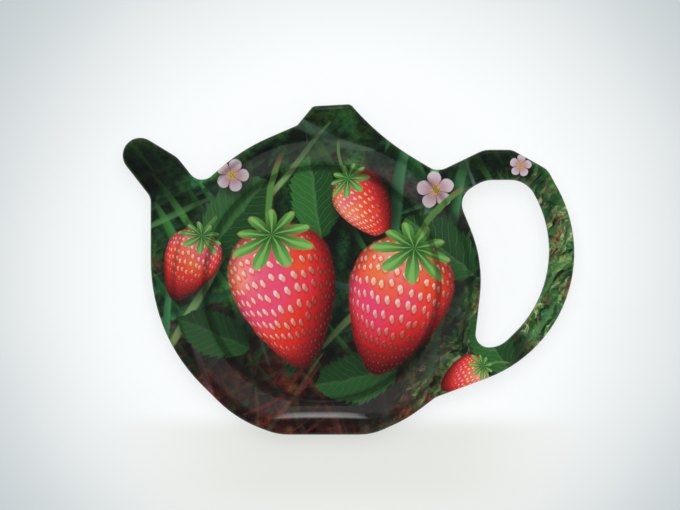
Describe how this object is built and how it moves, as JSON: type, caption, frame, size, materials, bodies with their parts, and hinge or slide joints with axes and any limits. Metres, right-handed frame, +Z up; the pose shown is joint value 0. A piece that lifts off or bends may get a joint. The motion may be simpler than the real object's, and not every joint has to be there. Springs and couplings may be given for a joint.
{
  "type": "tea bag rest",
  "caption": "Shallow dish in the outline of a teapot for resting a used tea bag: round well with one straight side, solid spout, open loop handle and a printed face under clear glaze.",
  "frame": {"origin": "middle of the bounding box, at the underside of the foot ring", "axes": "+X from the spout towards the handle, +Y from the flat belly towards the lid, +Z up out of the face; the part lies face up as it is used"},
  "size_m": [0.1198, 0.0877, 0.0088],
  "materials": {
    "white_melamine": "moulded, satin to gloss, white all through",
    "printed_foil": "resin-soaked decor foil, full-colour print of red fruit among dark grass",
    "clear_glaze": "clear, glossy glazing layer"
  },
  "bodies": {
    "root": {"tray_body": "white_melamine", "decor_foil": "printed_foil", "clear_glaze": "clear_glaze"}
  },
  "joints": []
}
